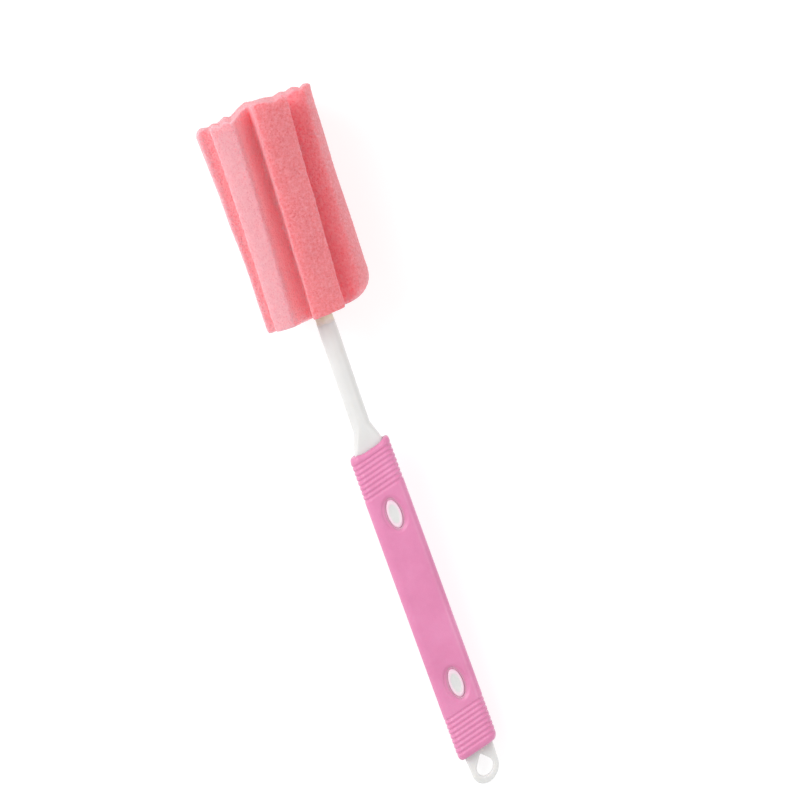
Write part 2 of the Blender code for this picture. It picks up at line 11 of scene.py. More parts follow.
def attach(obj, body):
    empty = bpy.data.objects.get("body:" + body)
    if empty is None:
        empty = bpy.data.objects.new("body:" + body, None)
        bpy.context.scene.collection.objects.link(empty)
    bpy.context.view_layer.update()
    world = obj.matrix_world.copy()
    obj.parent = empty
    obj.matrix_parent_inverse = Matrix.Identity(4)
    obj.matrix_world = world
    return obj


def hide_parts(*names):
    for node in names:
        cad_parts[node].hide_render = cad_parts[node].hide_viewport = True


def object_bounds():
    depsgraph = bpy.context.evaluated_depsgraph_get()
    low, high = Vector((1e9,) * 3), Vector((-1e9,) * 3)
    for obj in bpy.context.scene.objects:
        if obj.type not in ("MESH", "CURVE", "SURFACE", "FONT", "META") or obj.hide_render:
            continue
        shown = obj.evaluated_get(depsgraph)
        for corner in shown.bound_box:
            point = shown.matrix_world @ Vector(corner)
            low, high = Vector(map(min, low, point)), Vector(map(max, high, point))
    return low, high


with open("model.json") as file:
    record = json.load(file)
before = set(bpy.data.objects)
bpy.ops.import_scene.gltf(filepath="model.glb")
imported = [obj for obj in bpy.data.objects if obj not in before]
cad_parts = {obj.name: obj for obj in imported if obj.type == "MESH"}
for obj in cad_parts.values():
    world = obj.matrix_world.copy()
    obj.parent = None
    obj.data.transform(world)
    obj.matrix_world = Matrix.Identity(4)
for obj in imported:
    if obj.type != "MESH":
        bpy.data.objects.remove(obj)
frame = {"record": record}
CAD_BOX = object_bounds()

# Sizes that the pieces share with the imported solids. Places are counted along the brush from the tab's end.

TAB_LENGTH = 0.0131
TAB_WIDTH = 0.0122
TAB_THICKNESS = 0.0040
TAB_EDGE = 0.0006
GRIP_LENGTH = 0.1234
GRIP_END = TAB_LENGTH + GRIP_LENGTH
GRIP_WIDTH = 0.0170
GRIP_THICKNESS = 0.0120
BAR_WIDTH = 0.0124
BAR_THICKNESS = 0.0074
BAR_CORNER = 0.0015
BAR_INSET = 0.0023
BAR_START = TAB_LENGTH + BAR_INSET
STEM_RADIUS = 0.0036
STEM_LENGTH = 0.0545
STEM_LEAN = math.radians(1.05)
CROSS_RISE = math.tan(math.radians(14.0))
FOAM_START = GRIP_END + STEM_LENGTH
FOAM_LENGTH = 0.0844
FOAM_END = FOAM_START + FOAM_LENGTH
GLUE_SHOWN = 0.0040
NECK_START = FOAM_START - GLUE_SHOWN
SPINDLE_INSET = 0.0165
SPINDLE_END = FOAM_END - SPINDLE_INSET
FRONT_ISLAND_INSET = 0.0269
TAIL_ISLAND_INSET = 0.0275
ISLANDS = (GRIP_END - FRONT_ISLAND_INSET, TAB_LENGTH + TAIL_ISLAND_INSET)
ISLAND_LENGTH = 0.0116
ISLAND_WIDTH = 0.0055
ISLAND_ASIDE = 0.0006
FIT = 0.000015


def brush_frame():
    """The brush's own axes where it lies, from the mount on the grip's front face."""
    mounts = {mount["name"]: mount for mount in frame["record"]["mounts"]}
    face = mounts["grip_front_face"]
    up = Vector(face["axis"]).normalized()
    along = Vector((up.z, 0.0, -up.x))
    turn = Matrix((along, up.cross(along), up)).transposed()
    middle = Vector((TAB_LENGTH + GRIP_LENGTH / 2, 0.0, GRIP_THICKNESS / 2))
    return Matrix.Translation(Vector(face["pos_m"]) - turn @ middle) @ turn.to_4x4()


BRUSH = brush_frame()
STEM = BRUSH @ Matrix.Translation((GRIP_END, 0, 0)) @ Matrix.Rotation(-STEM_LEAN, 4, "Z")
STEM = STEM @ Matrix.Translation((-GRIP_END, 0, 0))


# Shapes

def smoothstep(value):
    value = min(max(value, 0.0), 1.0)
    return value * value * (3 - 2 * value)


def round_share(distance, rounding):
    """How much a quarter-round edge is drawn in, from 1 at its end to 0 where the rounding is over."""
    left = 1 - min(max(distance, 0.0) / rounding, 1)
    return 1 - math.sqrt(1 - left * left)


def loft(rings, cap_first=True, cap_last=True):
    """A skin over rings of equally many points, as a bmesh."""
    shape = bmesh.new()
    loops = [[shape.verts.new(point) for point in ring] for ring in rings]
    for near, far in zip(loops, loops[1:]):
        for i in range(len(near)):
            j = (i + 1) % len(near)
            shape.faces.new((near[i], near[j], far[j], far[i]))
    if cap_first:
        shape.faces.new(list(reversed(loops[0])))
    if cap_last:
        shape.faces.new(loops[-1])
    bmesh.ops.recalc_face_normals(shape, faces=shape.faces)
    return shape


def to_object(name, shape, place):
    """Turns a bmesh in brush coordinates into an object in the shared frame."""
    shape.transform(place)
    mesh = bpy.data.meshes.new(name)
    shape.to_mesh(mesh)
    shape.free()
    made = bpy.data.objects.new(name, mesh)
    bpy.context.scene.collection.objects.link(made)
    return made


def combine(piece, operation, helper):
    modifier = piece.modifiers.new("combine", "BOOLEAN")
    modifier.operation = operation
    modifier.solver = "EXACT"
    modifier.object = helper


def settle(piece, helpers=()):
    """Applies the modifiers of a piece and removes the shapes that they used."""
    bpy.context.view_layer.update()
    graph = bpy.context.evaluated_depsgraph_get()
    mesh = bpy.data.meshes.new_from_object(piece.evaluated_get(graph))
    piece.modifiers.clear()
    piece.data = mesh
    for helper in helpers:
        bpy.data.objects.remove(helper)


def soften(piece, sharp_deg):
    piece.data.shade_smooth()
    piece.data.set_sharp_from_angle(angle=math.radians(sharp_deg))


def store(piece, name, values):
    """Gives each point of a piece's mesh a value that its material can read."""
    mark = piece.data.attributes.new(name, "FLOAT", "POINT")
    mark.data.foreach_set("value", values)


def rounded_rectangle(width, thickness, radius, corner_steps, long_steps, short_steps):
    """(y, z) points round a rounded rectangle, counted evenly on its corners and its four sides."""
    half_y = width / 2 - radius
    half_z = thickness / 2 - radius
    points = []
    corners = ((1, 1, 0), (-1, 1, 90), (-1, -1, 180), (1, -1, 270))
    for number, (side_y, side_z, first) in enumerate(corners):
        for i in range(corner_steps + 1):
            angle = math.radians(first + 90 * i / corner_steps)
            y = side_y * half_y + radius * math.cos(angle)
            z = side_z * half_z + radius * math.sin(angle)
            points.append((y, z))
        steps = long_steps if number % 2 == 0 else short_steps
        next_y, next_z, next_first = corners[(number + 1) % 4]
        start = points[-1]
        angle = math.radians(next_first)
        end = (next_y * half_y + radius * math.cos(angle), next_z * half_z + radius * math.sin(angle))
        for i in range(1, steps):
            share = i / steps
            points.append((start[0] + (end[0] - start[0]) * share, start[1] + (end[1] - start[1]) * share))
    return points


def slanted(x, outline):
    """A ring from (y, z) points at a place along the brush, askew like the ends of the grip."""
    return [(x - CROSS_RISE * y, y, z) for y, z in outline]


def turned_rings(profile, steps):
    """Circles round the brush's axis, one for each place and radius of a profile."""
    angles = [2 * math.pi * i / steps for i in range(steps)]
    return [[(x, radius * math.cos(a), radius * math.sin(a)) for a in angles] for x, radius in profile]


OVAL_STEPS = 72


def oval_ring(x, z, length, width):
    """An ellipse round an island's middle."""
    ring = []
    for i in range(OVAL_STEPS):
        angle = 2 * math.pi * i / OVAL_STEPS
        ring.append((x + length / 2 * math.cos(angle), width / 2 * math.sin(angle) - ISLAND_ASIDE, z))
    return ring


def from_island(place):
    """How far a place is from the middle of the nearer island, along and across the brush."""
    middle = min(ISLANDS, key=lambda island: abs(place.x - island))
    return place.x - middle, place.y + ISLAND_ASIDE


def island_reach(along, across):
    """The same distance as a share of the island's size, which is 1 on the island's edge."""
    return math.hypot(along / (ISLAND_LENGTH / 2), across / (ISLAND_WIDTH / 2))


# Foam head

FOAM_BASE_RADIUS = 0.0221
FOAM_TIP_RADIUS = 0.0239
FOAM_FLARE = 3.0
NOTCH_RADIUS = 0.0100
NOTCH_FLOOR_SHARE = 0.05
FLUTE_TURN = math.radians(8.3)
FLUTE_TWIST = math.radians(11.5)
BASE_RISE = math.tan(math.radians(3.3))
TIP_RISE = math.tan(math.radians(5.0))

# The place of each flute and the width of its face, as shares of the flutes' pitch
FLUTE_SHARES = ((-0.014, 0.612), (1.0, 0.58), (2.02, 0.60), (3.04, 0.60), (4.12, 0.57), (5.075, 0.50))
FLUTE_PITCH = 2 * math.pi / len(FLUTE_SHARES)
FLUTE_EDGE = 0.0010
EDGE_SHARE = 0.3
FACE_STEPS = 12
WALL_STEPS = 9
FLOOR_STEPS = 2

WORN_BASE_FLUTES = (1, 2)
WORN_BASE_ROUNDING = 0.0095
WORN_TIP_FLUTE = 4
WORN_TIP_ROUNDING = 0.0050


def foam_radius(along):
    """The head's outer radius at a share of its length, which widens late towards the tip."""
    return FOAM_BASE_RADIUS + (FOAM_TIP_RADIUS - FOAM_BASE_RADIUS) * max(along, 0.0) ** FOAM_FLARE


def foam_turn(along):
    return FLUTE_TURN + FLUTE_TWIST * along


def flute_reach(flute, from_base):
    """The outer radius of a flute at a distance from the base, drawn in where its corners are worn."""
    rounding = WORN_BASE_ROUNDING if flute in WORN_BASE_FLUTES else FLUTE_EDGE
    reach = foam_radius(from_base / FOAM_LENGTH) - rounding * round_share(from_base, rounding)
    if flute == WORN_TIP_FLUTE:
        reach -= WORN_TIP_ROUNDING * round_share(FOAM_LENGTH - from_base, WORN_TIP_ROUNDING)
    return reach


def flute_angles(flute):
    """The angles where a flute's outer face starts and ends."""
    place, face = FLUTE_SHARES[flute]
    return FLUTE_PITCH * (place - face / 2), FLUTE_PITCH * (place + face / 2)


def polar(angle, reach):
    return Vector((reach * math.sin(angle), reach * math.cos(angle)))


def line_between(start, end, steps):
    """Points from the start up to the end, without the end itself."""
    return [start.lerp(end, i / steps) for i in range(steps)]


def foam_outline(from_base):
    """(across, up) points round the fluted foam before its twist, close enough for the surface's waves."""
    half_floor = FLUTE_PITCH / 2 * NOTCH_FLOOR_SHARE
    points = []
    for flute in range(len(FLUTE_SHARES)):
        following = (flute + 1) % len(FLUTE_SHARES)
        first, last = flute_angles(flute)
        next_first = flute_angles(following)[0]
        if next_first < last:
            next_first += 2 * math.pi
        notch = (last + next_first) / 2
        outer = flute_reach(flute, from_base)
        edge = FLUTE_EDGE / outer
        points.append(polar(first, outer - FLUTE_EDGE))
        points.append(polar(first + EDGE_SHARE * edge, outer - EDGE_SHARE * FLUTE_EDGE))
        for i in range(FACE_STEPS + 1):
            points.append(polar(first + edge + (last - first - 2 * edge) * i / FACE_STEPS, outer))
        points.append(polar(last - EDGE_SHARE * edge, outer - EDGE_SHARE * FLUTE_EDGE))
        foot = polar(notch - half_floor, NOTCH_RADIUS)
        next_foot = polar(notch + half_floor, NOTCH_RADIUS)
        next_edge = polar(next_first, flute_reach(following, from_base) - FLUTE_EDGE)
        points += line_between(polar(last, outer - FLUTE_EDGE), foot, WALL_STEPS)
        points += line_between(foot, next_foot, FLOOR_STEPS)
        points += line_between(next_foot, next_edge, WALL_STEPS)
    return points


def foam_section(from_base):
    """The fluted outline at a distance from the base, with the askew cuts of both ends shared out."""
    along = from_base / FOAM_LENGTH
    turn = foam_turn(along)
    rise = BASE_RISE + (TIP_RISE - BASE_RISE) * along
    ring = []
    for point in foam_outline(from_base):
        across = point.x * math.cos(turn) + point.y * math.sin(turn)
        up = point.y * math.cos(turn) - point.x * math.sin(turn)
        ring.append((FOAM_START + from_base + rise * across, -across, up))
    return ring


BASE_STATION_SHARES = (0.0, 0.01, 0.04, 0.1, 0.18, 0.28, 0.4, 0.55, 0.75, 1.0)
TIP_STATIONS = (0.003, 0.002, 0.001, 0.0003, 0.0, -0.0008)
FOAM_STEPS = 58


def foam_stations():
    """The distances from the base that get a section, close together where corners are worn or cut."""
    stations = [WORN_BASE_ROUNDING * share for share in BASE_STATION_SHARES]
    start = stations[-1]
    span = FOAM_LENGTH - TIP_STATIONS[0] - start
    stations += [start + span * i / FOAM_STEPS for i in range(1, FOAM_STEPS + 1)]
    stations += [FOAM_LENGTH - from_tip for from_tip in TIP_STATIONS[1:]]
    return stations


TEETH = 4
TOOTH_PITCH = 0.0049
TOOTH_HEIGHT = 0.0010
TOOTH_UNEVEN_SHARE = 0.25
UNEVEN_PHASE = 7.3
UNEVEN_SIDE_PHASE = 2.1
TOOTH_SHIFT_SHARE = 0.12
SHIFT_PHASE = 5.1
HUMP_WIDTH = 0.0135
HUMP_HEIGHT = 0.0016
HUMP_STEPS = 12
CUT_LENGTH = 0.006
CUT_OVERRUN = 0.002


def tooth_row(side):
    """Valleys and peaks beside the hump, from the hump outwards, which differ a little from each other."""
    row = []
    for number in range(TEETH):
        uneven = TOOTH_UNEVEN_SHARE * math.sin(UNEVEN_PHASE * number + UNEVEN_SIDE_PHASE * side)
        shift = TOOTH_SHIFT_SHARE * math.sin(SHIFT_PHASE * number + side)
        valley = HUMP_WIDTH / 2 + (number + 0.5 + shift) * TOOTH_PITCH
        row.append((-HUMP_HEIGHT - TOOTH_HEIGHT * (1 + uneven), valley))
        row.append((-HUMP_HEIGHT, HUMP_WIDTH / 2 + (number + 1) * TOOTH_PITCH))
    return row


def tip_cut():
    """The block that the saw-toothed cut across the tip takes off, with the hump in its middle."""
    outline = [(x, -across) for x, across in reversed(tooth_row(-1))]
    for i in range(HUMP_STEPS + 1):
        across = 2 * i / HUMP_STEPS - 1
        outline.append((-HUMP_HEIGHT + HUMP_HEIGHT * (1 - across * across), HUMP_WIDTH / 2 * across))
    outline += tooth_row(1)
    outline += [(CUT_LENGTH, outline[-1][1]), (CUT_LENGTH, outline[0][1])]
    reach = FOAM_TIP_RADIUS + CUT_OVERRUN
    return loft([[(x, y, z) for x, y in outline] for z in (-reach, reach)])


BORE_OVERRUN = 0.003
GLUE_BORE_RADIUS = 0.0036
GLUE_BORE_DEPTH = 0.0123
BARB_BORE_RADIUS = 0.0039
BARB_BORE_DEPTH = 0.0126
BORE_STEPS = 32


def foam_bore():
    """The blind hole that the spindle and the adhesive sit in."""
    profile = ((FOAM_START - BORE_OVERRUN, GLUE_BORE_RADIUS),
               (FOAM_START + GLUE_BORE_DEPTH, GLUE_BORE_RADIUS),
               (FOAM_START + BARB_BORE_DEPTH, BARB_BORE_RADIUS),
               (SPINDLE_END, BARB_BORE_RADIUS))
    return loft(turned_rings(profile, BORE_STEPS))


# The foam's surface: the noise's scale per metre and the height of its waves, its grain and its open cells
WAVE_SCALE = 70.0
WAVE_HEIGHT = 0.00035
GRAIN_SCALE = 800.0
GRAIN_HEIGHT = 0.00009
PIT_SCALE = 700.0
PIT_DEPTH = 0.00020
PIT_REACH = 0.45


def roughen_foam(foam):
    """Waves the cut faces a little, pits them with the foam's cells, and keeps them above the table."""
    mesh = foam.data
    moves = []
    for vertex in mesh.vertices:
        place = vertex.co
        wave = noise.noise(place * WAVE_SCALE) * WAVE_HEIGHT
        grain = noise.noise(place * GRAIN_SCALE) * GRAIN_HEIGHT
        cells = noise.voronoi(place * PIT_SCALE)[0][0]
        pit = -PIT_DEPTH * max(0.0, 1 - cells / PIT_REACH)
        moves.append(vertex.normal * (wave + grain + pit))
    for vertex, move in zip(mesh.vertices, moves):
        vertex.co += move
        vertex.co.z = max(vertex.co.z, 0.0)


# Where the painted highlight on the side towards the key light starts and ends, as angles round the head, and
# how softly
LIT_SIDE_FROM_DEG = 29.0
LIT_SIDE_FROM_SOFT_DEG = 4.0
LIT_SIDE_TO_DEG = 175.0
LIT_SIDE_TO_SOFT_DEG = 30.0
FACE_SKIN = 0.0006
FACE_SHARPNESS = 2.5
CUT_SHARPNESS = 2.0


def mark_depth(foam):
    """Stores how deep in a notch each point is, for the painted light that stands in for light the foam
    scatters there, and how far it is on the faces and in the notches of the side towards the key light, which
    gets a painted highlight."""
    back = STEM.inverted()
    axis = STEM.to_3x3() @ Vector((1, 0, 0))
    depths = []
    lit_side_highlights = []
    lit_side_notch_lights = []
    for vertex in foam.data.vertices:
        place = back @ vertex.co
        along = (place.x - FOAM_START) / FOAM_LENGTH
        outer = foam_radius(along)
        depth = (outer - math.hypot(place.y, place.z) - FACE_SKIN) / (outer - NOTCH_RADIUS)
        off_cuts = smoothstep(CUT_SHARPNESS * (1 - abs(vertex.normal.dot(axis))))
        angle = math.degrees(math.atan2(place.y, place.z) + foam_turn(along))
        side = smoothstep((angle - LIT_SIDE_FROM_DEG) / LIT_SIDE_FROM_SOFT_DEG)
        side *= smoothstep((LIT_SIDE_TO_DEG - angle) / LIT_SIDE_TO_SOFT_DEG)
        shallow = smoothstep(1 - FACE_SHARPNESS * depth)
        depths.append(min(max(depth, 0.0), 1.0) * off_cuts)
        lit_side_highlights.append(side * shallow)
        lit_side_notch_lights.append(side * (1 - shallow) * off_cuts)
    store(foam, "depth", depths)
    store(foam, "lit_side_highlight", lit_side_highlights)
    store(foam, "lit_side_notch_light", lit_side_notch_lights)


FOAM_CELL = 0.00055


def make_foam():
    foam = to_object("foam_head", loft([foam_section(place) for place in foam_stations()]), STEM)
    slant = Matrix.Translation((FOAM_END, 0, 0)) @ Matrix.Rotation(math.atan(TIP_RISE), 4, "Z")
    cut = to_object("tip_cut", tip_cut(), STEM @ slant)
    bore = to_object("foam_bore", foam_bore(), STEM)
    combine(foam, "DIFFERENCE", cut)
    combine(foam, "DIFFERENCE", bore)
    settle(foam, (cut, bore))
    remesh = foam.modifiers.new("cells", "REMESH")
    remesh.mode = "VOXEL"
    remesh.voxel_size = FOAM_CELL
    settle(foam)
    roughen_foam(foam)
    mark_depth(foam)
    foam.data.shade_smooth()
    dress(foam, foam_material(), "sponge_head")


# Soft grip

GRIP_CORNER = 0.0032
GROOVE_COUNT = 8
GROOVE_START = 0.00315
GROOVE_PITCH = 0.00195
GROOVE_DEPTH = 0.00040
GROOVE_SHARPNESS = 1.1
GROOVE_STEPS = 8
TAIL_INSET = 0.0017
TAIL_ROUNDING = 0.0035
RIM_INSET = 0.0012
RIM_ROUNDING = 0.0018
RIM_SCOOP = 0.0008
SCOOP_ASIDE = 0.0005
SCOOP_HALF_WIDTH = 0.0056
SCOOP_FADE = 0.004


def groove_depth(x):
    """A soft round-bottomed groove at each place along both ends of the grip."""
    depth = 0.0
    for start, sign in ((TAB_LENGTH + GROOVE_START, 1), (GRIP_END - GROOVE_START, -1)):
        number = round((x - start) * sign / GROOVE_PITCH)
        number = min(max(number, 0), GROOVE_COUNT - 1)
        offset = abs(x - start - sign * number * GROOVE_PITCH) / (GROOVE_PITCH / 2)
        if offset < 1:
            depth = max(depth, GROOVE_DEPTH * (0.5 + 0.5 * math.cos(math.pi * offset)) ** GROOVE_SHARPNESS)
    return depth


def rim_scoop(x, y):
    """How far the rim is hollowed between its two lugs, fading out away from the rim."""
    across = (y + SCOOP_ASIDE) / SCOOP_HALF_WIDTH
    hollow = max(1 - across * across, 0.0)
    return RIM_SCOOP * (1 - (1 - hollow) ** 2) * smoothstep(1 - (GRIP_END - x) / SCOOP_FADE)


def grip_section(x, width, thickness, radius):
    """A slanted section across the grip, with points set the same way all along."""
    outline = rounded_rectangle(width, thickness, radius, corner_steps=10, long_steps=30, short_steps=9)
    return [(x - rim_scoop(x, y) - CROSS_RISE * y, y, z) for y, z in outline]


def grip_ring(x):
    """The grip's outside at a place along it, drawn in at the grooves, the round tail and the rim."""
    inset = groove_depth(x)
    inset += TAIL_INSET * round_share(x - TAB_LENGTH, TAIL_ROUNDING)
    inset += RIM_INSET * round_share(GRIP_END - x, RIM_ROUNDING)
    corner = GRIP_CORNER * (1 - 2 * inset / GRIP_WIDTH)
    return grip_section(x, GRIP_WIDTH - 2 * inset, GRIP_THICKNESS - 2 * inset, corner)


def bore_ring(x, grow):
    return grip_section(x, BAR_WIDTH + 2 * grow, BAR_THICKNESS + 2 * grow, BAR_CORNER + grow)


TAIL_STATION_SHARES = (0.0, 0.015, 0.06, 0.13, 0.23, 0.36, 0.5, 0.65)
RIM_STATION_SHARES = (0.9, 0.7, 0.5, 0.33, 0.19, 0.09, 0.03, 0.0)
GRIP_STEPS = 240


def grip_stations():
    """The places along the grip that get a section, close together on the grooves and the round ends."""
    ridges = []
    for i in range(GROOVE_STEPS * GROOVE_COUNT + 1):
        ridges.append(TAB_LENGTH + GROOVE_START + GROOVE_PITCH * (i / GROOVE_STEPS - 0.5))
    far_ridges = [GRIP_END - (x - TAB_LENGTH) for x in reversed(ridges)]
    span = far_ridges[0] - ridges[-1]
    middle = [ridges[-1] + span * i / GRIP_STEPS for i in range(1, GRIP_STEPS)]
    tail = [TAB_LENGTH + TAIL_ROUNDING * share for share in TAIL_STATION_SHARES]
    rim = [GRIP_END - RIM_ROUNDING * share for share in RIM_STATION_SHARES]
    ends = [x for x in tail if x < ridges[0]] + [x for x in rim if x > far_ridges[-1]]
    return sorted(set(ends + ridges + middle + far_ridges))


# The bore for the bar: how far each ring is past the grip's end, and its gap to the bar
BORE_MOUTH = ((0.00008, 0.00055), (0.0, 0.00030), (-0.00025, FIT), (-0.004, FIT))
TAIL_WALL = 0.0020
DISH_LENGTH = 0.0154
DISH_WIDTH = 0.0102
DISH_DEPTH = 0.00065
DISH_SHARPNESS = 2.6
FACE_ROUNDING = 0.0012
SLOT_OVERRUN = 0.003
SLOT_DEPTH = 0.0046


def press_dishes(shape):
    """Presses a shallow dish round each island into both faces of the grip."""
    for vertex in shape.verts:
        along, across = from_island(vertex.co)
        reach = (along / (DISH_LENGTH / 2)) ** 2 + (across / (DISH_WIDTH / 2)) ** 2
        if abs(vertex.co.z) >= GRIP_THICKNESS / 2 - FACE_ROUNDING and reach < 1:
            depth = DISH_DEPTH * smoothstep(DISH_SHARPNESS * (1 - reach))
            vertex.co.z -= math.copysign(depth, vertex.co.z)


def tab_slot():
    """The slot in the grip's tail that the hang tab goes through."""
    outline = rounded_rectangle(TAB_WIDTH + 2 * FIT, TAB_THICKNESS + 2 * FIT, TAB_EDGE,
                                corner_steps=4, long_steps=4, short_steps=2)
    return loft([slanted(x, outline) for x in (TAB_LENGTH - SLOT_OVERRUN, TAB_LENGTH + SLOT_DEPTH)])


# A window's soft lip: depth below the grip's face, and how much wider the window is there on each side
WINDOW_LIP = ((-0.002, 0.0010), (0.0, 0.0010), (0.00062, 0.0010), (0.00066, 0.00085), (0.00072, 0.0006),
              (0.00080, 0.00036), (0.00090, 0.00016), (0.0010, 0.00004), (0.0013, 0.0))
LIP_STRETCH = 1.2


def window_shape(middle):
    """The window through the grip round an island, with its lip at both faces."""
    face = GRIP_THICKNESS / 2
    levels = [(-face + depth, flare) for depth, flare in WINDOW_LIP]
    levels += [(face - depth, flare) for depth, flare in reversed(WINDOW_LIP)]
    rings = []
    for z, flare in levels:
        length = ISLAND_LENGTH + 2 * FIT + LIP_STRETCH * flare
        width = ISLAND_WIDTH + 2 * FIT + 2 * flare
        rings.append(oval_ring(middle, z, length, width))
    return loft(rings)


MOAT_WIDTH = 0.00115
MOAT_SHARPNESS = 1.6
LIP_WIDTH = 0.0006
LIP_SHARPNESS = 1.3
WINDOW_REACH = 0.9


def mark_moats(grip):
    """Stores how much each point is in the ring round an oval island, where shade is painted, and how much it
    is on the thin lip at the island's edge, which is painted lighter against the shade of the groove there."""
    back = BRUSH.inverted()
    moats = []
    lips = []
    for vertex in grip.data.vertices:
        place = back @ vertex.co
        along, across = from_island(place)
        reach = island_reach(along, across)
        painted_moat_shade = 0.0
        lip = 0.0
        if abs(place.z) > BAR_THICKNESS / 2 and reach > WINDOW_REACH:
            past_edge = math.hypot(along, across) * (1 - 1 / reach)
            painted_moat_shade = smoothstep(MOAT_SHARPNESS * (1 - past_edge / MOAT_WIDTH))
            lip = smoothstep(LIP_SHARPNESS * (1 - past_edge / LIP_WIDTH))
        moats.append(painted_moat_shade)
        lips.append(lip)
    store(grip, "painted_moat_shade", moats)
    store(grip, "lip", lips)


def make_grip():
    rings = [grip_ring(x) for x in grip_stations()]
    rings += [bore_ring(GRIP_END + past, grow) for past, grow in BORE_MOUTH]
    rings.append(bore_ring(TAB_LENGTH + TAIL_WALL, FIT))
    shape = loft(rings)
    press_dishes(shape)
    grip = to_object("soft_grip", shape, BRUSH)
    helpers = [to_object("tab_slot", tab_slot(), BRUSH)]
    for number, x in enumerate(ISLANDS):
        helpers.append(to_object("window_%d" % number, window_shape(x), BRUSH))
    for helper in helpers:
        combine(grip, "DIFFERENCE", helper)
    settle(grip, helpers)
    mark_moats(grip)
    soften(grip, sharp_deg=38)
    dress(grip, rubber_material(), "grip_sleeve")


# White core

SHOULDER_LENGTH = 0.0085
SHOULDER_SHARES = ((0.0, 1.0), (0.25, 0.76), (0.5, 0.5), (0.75, 0.24), (0.9, 0.08), (1.0, 0.0))
SHOULDER_EASE_SHARE = 0.05
ROUND_LENGTH = 0.0130
ROUND_EASE_SHARE = 0.35
CORNER_MARGIN = 0.000001
SLANT_FADE = 0.02
PARTING_HEIGHT = 0.00007
PARTING_HALF_WIDTH = 0.00012
PARTING_INSET = 0.0015
PARTING_FADE = 0.002


def shoulder_share(along):
    """How much of the shoulder's extra width is left at a share of its length."""
    for (start, before), (end, after) in zip(SHOULDER_SHARES, SHOULDER_SHARES[1:]):
        if along <= end:
            return before + (after - before) * (along - start) / (end - start)
    return 0.0


def eased_shoulder(along):
    """The same share with its bends eased, apart from the first one where the shoulder leaves the grip."""
    if along <= SHOULDER_EASE_SHARE:
        return shoulder_share(along)
    near = (along - SHOULDER_EASE_SHARE, along, along + SHOULDER_EASE_SHARE)
    return sum(shoulder_share(place) for place in near) / len(near)


def core_ring(x):
    """A section of the bar, the shoulder or the stem, with the mould's parting line on both sides."""
    reach = max(x - GRIP_END, 0.0)
    share = eased_shoulder(reach / SHOULDER_LENGTH)
    through = min(reach / ROUND_LENGTH, 1.0)
    roundness = smoothstep(through) * ROUND_EASE_SHARE + through * (1 - ROUND_EASE_SHARE)
    width = 2 * STEM_RADIUS + (BAR_WIDTH - 2 * STEM_RADIUS) * share
    thickness = 2 * STEM_RADIUS + (BAR_THICKNESS - 2 * STEM_RADIUS) * (1 - roundness)
    corner = BAR_CORNER + (STEM_RADIUS - BAR_CORNER) * roundness
    corner = min(corner, width / 2, thickness / 2) - CORNER_MARGIN
    offset = reach * math.tan(STEM_LEAN)
    slant = CROSS_RISE * smoothstep((NECK_START - x) / SLANT_FADE)
    ridge = PARTING_HEIGHT * smoothstep((NECK_START - PARTING_INSET - x) / PARTING_FADE)
    ring = []
    for y, z in rounded_rectangle(width, thickness, corner, corner_steps=12, long_steps=6, short_steps=4):
        if abs(z) < PARTING_HALF_WIDTH and reach > 0:
            y += math.copysign(ridge, y)
        ring.append((x - slant * y, y - offset, z))
    return ring


BAR_STEPS = 4
FLARE_LENGTH = 0.0145
FLARE_STEPS = 40
SHAFT_STEPS = 30
SHAFT_INSET = 0.0006


def core_stations():
    """The places along the core that get a section, close together on the shoulder."""
    bar = [BAR_START + (GRIP_END - BAR_START) * i / BAR_STEPS for i in range(BAR_STEPS)]
    flare = [GRIP_END + FLARE_LENGTH * i / FLARE_STEPS for i in range(FLARE_STEPS + 1)]
    span = NECK_START - SHAFT_INSET - GRIP_END - FLARE_LENGTH
    shaft = [GRIP_END + FLARE_LENGTH + span * i / SHAFT_STEPS for i in range(1, SHAFT_STEPS + 1)]
    return bar + flare + shaft


# The rounded end of the stem: the distance before the neck, and how far it is below the stem's radius
STEM_END = ((0.0008, 0.00001), (0.0003, 0.00003), (0.0001, 0.00010), (0.0, 0.0003))
NECK_RADIUS = 0.0024
NECK_DEPTH = 0.0125
BARB_COUNT = 5
BARBS_DEPTH = 0.0120
BARB_LENGTH = 0.0051
BARB_TAPER = 0.0045
BARB_RADIUS = 0.0036
SPINDLE_TIP_RADIUS = 0.0015
SPINDLE_STEPS = 36


def spindle_shape():
    """The turned neck under the adhesive and the barbed spindle inside the foam."""
    profile = [(NECK_START - before, STEM_RADIUS - below) for before, below in STEM_END]
    profile += [(NECK_START, NECK_RADIUS), (FOAM_START + NECK_DEPTH, NECK_RADIUS)]
    pitch = (SPINDLE_END - FOAM_START - BARBS_DEPTH) / BARB_COUNT
    for number in reversed(range(BARB_COUNT)):
        front = SPINDLE_END - number * pitch
        profile += [(front - BARB_LENGTH, NECK_RADIUS), (front - BARB_LENGTH, BARB_RADIUS)]
        profile += [(front - BARB_TAPER, BARB_RADIUS), (front, NECK_RADIUS if number else SPINDLE_TIP_RADIUS)]
    return loft(turned_rings(profile, SPINDLE_STEPS))


TAB_ROOT = 0.002
TAB_END_RADIUS = 0.0057
TAB_END_FROM_DEG = 92
TAB_END_SWEEP_DEG = 176
HOLE_CENTRE = 0.0060
HOLE_RADIUS = 0.0034
HOLE_POINT_DEG = 39
POINT_START = 0.0005
POINT_END = 0.0002
POINT_HALF_WIDTH = 0.0004
ARC_STEPS = 32
WELD = 0.00001


def arc(centre, radius, from_deg, sweep_deg):
    """(x, y) points on an arc round a centre on the brush's axis."""
    points = []
    for i in range(ARC_STEPS + 1):
        angle = math.radians(from_deg + sweep_deg * i / ARC_STEPS)
        points.append((centre + radius * math.cos(angle), radius * math.sin(angle)))
    return points


